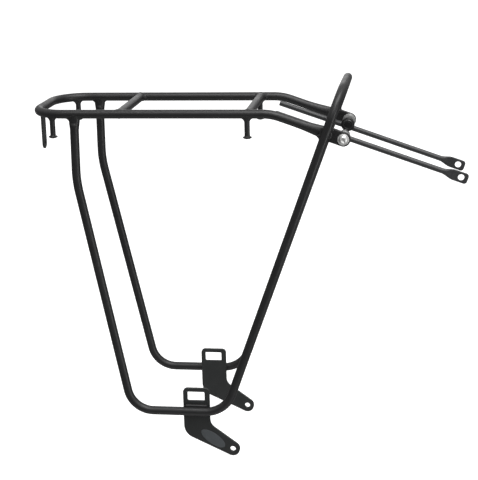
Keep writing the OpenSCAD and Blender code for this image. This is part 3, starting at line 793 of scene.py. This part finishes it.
# ---------------------------------------------------------------- stays
def stay(side, s):
    r, ew, et = STAY_R, 6.2, 1.5
    tip = STAY_REACH + 8.1
    ss = [-STAY_BACK, -STAY_BACK + 0.05, -STAY_BACK + 0.3, -STAY_BACK + 0.6, -STAY_BACK + 1.2]
    x = -STAY_BACK + 8
    while x < 112:
        ss.append(x)
        x += 7
    x = 113.0
    while x < tip - 3.6:
        ss.append(x)
        x += 0.9
    ss += [tip - 3.5 + 3.5 * sin(rad(a)) for a in (0, 15, 30, 45, 57, 68, 78, 86)] + [tip - 0.03, tip]

    def shape(d):
        if d < -STAY_BACK + 0.6:
            k = (d + STAY_BACK) / 0.6
            return r - 0.6 * (1 - k) ** 1.5 if k > 0 else r - 0.6, r - 0.6 * (1 - k) ** 1.5 if k > 0 else r - 0.6, 2
        t = smoothstep((d - 117.0) / 15.0)
        a = r + (et - r) * smoothstep((d - 116.0) / 13.0)
        b = r + (ew - r) * t
        if d > tip - 3.5:
            q = (d - (tip - 3.5)) / 3.5
            b = ew - 3.5 + 3.5 * math.sqrt(max(0.0, 1 - q * q))
            if q > 0.93:
                a *= 0.8 + 0.2 * math.sqrt(max(0.0, 1 - ((q - 0.93) / 0.07) ** 2))
        return a, b, 2 + 5 * smoothstep((d - 121) / 10.0)

    base = Vector((ROD_AT.x, s * STAY_Y, ROD_AT.z)) - ROD_DIR * (s * STAY_SET)
    pts = [base + ROD_DIR * d for d in ss]
    ob = sweep(f"{side}_stay_rod_skin", pts, lambda i, th: superellipse(*shape(ss[i]), th), normal=(0, 1, 0), sides=40, smooth=38)
    eye = base + ROD_DIR * STAY_REACH
    cut(ob, lathe("drill", [(0, -4), (3.75, -4), (3.75, 4), (0, 4)], eye, (0, 1, 0), sides=56))
    bevel(ob, 0.28, 2, 55)
    return piece(ob, f"{side}_stay", "stay_black", STAY_COAT, f"{side}_stay_rod")


stay("right", -1)
stay("left", 1)

# ---------------------------------------------------------------- floor, light and camera
scene = bpy.context.scene
scene.view_settings.view_transform = "Standard"
scene.view_settings.look = "None"
scene.view_settings.exposure = 0.0
scene.view_settings.gamma = 1.0

WORLD = (0.30, 0.20, 0.22, 0.80)
floor_z = CAD_BOX[0].z - 0.0004
# a flat floor that curves up into a round studio wall and a ceiling, all one pale surface
prof = [(0.0, 0.0), (1.0, 0.0), (3.0, 0.0), (7.0, 0.0)] + [(7.0 + 4.0 * sin(rad(t)), 4.0 - 4.0 * cos(rad(t))) for t in range(10, 91, 10)] + [(11.0, 7.0)]
prof += [(11.0 * cos(rad(t)), 7.0 + 6.0 * sin(rad(t))) for t in range(15, 90, 15)] + [(0.0, 13.0)]
verts, faces, N = [], [], 64
for j, (r, h) in enumerate(prof):
    for i in range(N):
        verts.append((r * cos(2 * pi * i / N), r * sin(2 * pi * i / N), floor_z + h))
for j in range(len(prof) - 1):
    for i in range(N):
        m = (i + 1) % N
        faces.append((j * N + i, j * N + m, (j + 1) * N + m, (j + 1) * N + i))
me = bpy.data.meshes.new("floor")
me.from_pydata(verts, [], faces)
bm = bmesh.new()
bm.from_mesh(me)
bmesh.ops.remove_doubles(bm, verts=bm.verts, dist=1e-5)
bm.to_mesh(me)
bm.free()
floor = bpy.data.objects.new("floor", me)
scene.collection.objects.link(floor)
mat, nt, b = nodes_of("floor_white")
b.inputs["Base Color"].default_value = (0.5, 0.5, 0.5, 1)
b.inputs["Roughness"].default_value = 0.9
b.inputs["Specular IOR Level"].default_value = 0.0
b.inputs["Emission Color"].default_value = (1, 1, 1, 1)
b.inputs["Emission Strength"].default_value = 0.86
me.materials.append(mat)
# the sweep is what the camera sees behind the object; the light comes from the lamps and the world
floor.visible_diffuse = False
floor.visible_glossy = False
floor.visible_transmission = False
floor.visible_shadow = False

world = bpy.data.worlds.new("studio")
scene.world = world
world.use_nodes = True
wt = world.node_tree
bg = next(n for n in wt.nodes if n.type == "BACKGROUND")
wtc = add(wt, "ShaderNodeTexCoord")
sep = add(wt, "ShaderNodeSeparateXYZ")
wt.links.new(wtc.outputs["Generated"], sep.inputs["Vector"])
half = add(wt, "ShaderNodeMath", operation="MULTIPLY_ADD")
wt.links.new(sep.outputs["Z"], half.inputs[0])
half.inputs[1].default_value = 0.5
half.inputs[2].default_value = 0.5
sky = ramp(wt, half.outputs[0], [(0.0, (WORLD[0],) * 3), (0.40, (WORLD[1],) * 3), (0.55, (WORLD[2],) * 3), (0.85, (WORLD[3],) * 3)])
wt.links.new(sky.outputs["Color"], bg.inputs["Color"])
bg.inputs["Strength"].default_value = 1.0


def area(name, at, look, size, power, color=(1, 1, 1)):
    li = bpy.data.lights.new(name, "AREA")
    li.shape, li.size, li.size_y, li.energy, li.color = "RECTANGLE", size[0], size[1], power, color
    ob = bpy.data.objects.new(name, li)
    ob.location = at
    ob.rotation_mode = "QUATERNION"
    ob.rotation_quaternion = (Vector(look) - Vector(at)).to_track_quat("-Z", "Y")
    scene.collection.objects.link(ob)
    ob.visible_camera = False
    return ob


area("top_box", (0.40, -0.64, 2.05), (0, 0, 0.3), (1.9, 1.2), 34)
area("front_box", (0.7, -2.05, 1.5), (0, 0, 0.25), (1.1, 1.1), 6.5)
area("right_box", (0.85, -0.5, 0.12), (0.05, 0, 0.2), (0.35, 0.9), 2.9)
area("floor_bounce", (0.0, -0.35, -0.55), (0, 0, 0.1), (1.2, 0.8), 1.3)
area("back_box", (-0.3, 2.1, 0.9), (0, 0, 0.25), (1.2, 1.0), 3.5)

# camera: a long lens from the right, above and a little ahead
yaw, pitch, roll = rad(-8.12), rad(-15.35), rad(-1.44)
fw = Vector((sin(yaw) * cos(pitch), cos(yaw) * cos(pitch), sin(pitch)))
right = Vector((cos(yaw), -sin(yaw), 0))
up = right.cross(fw)
cr = right * cos(roll) + up * sin(roll)
cu = up * cos(roll) - right * sin(roll)
cam_data = bpy.data.cameras.new("camera")
cam_data.sensor_fit = "AUTO"
cam_data.sensor_width = 36.0
cam_data.lens = 1309.9 / 480 * 36.0
cam_data.clip_start, cam_data.clip_end = 0.05, 100
cam = bpy.data.objects.new("camera", cam_data)
cam.matrix_world = Matrix(((cr.x, cu.x, -fw.x, 0.2197), (cr.y, cu.y, -fw.y, -1.5131), (cr.z, cu.z, -fw.z, 0.6621), (0, 0, 0, 1)))
scene.collection.objects.link(cam)
scene.camera = cam
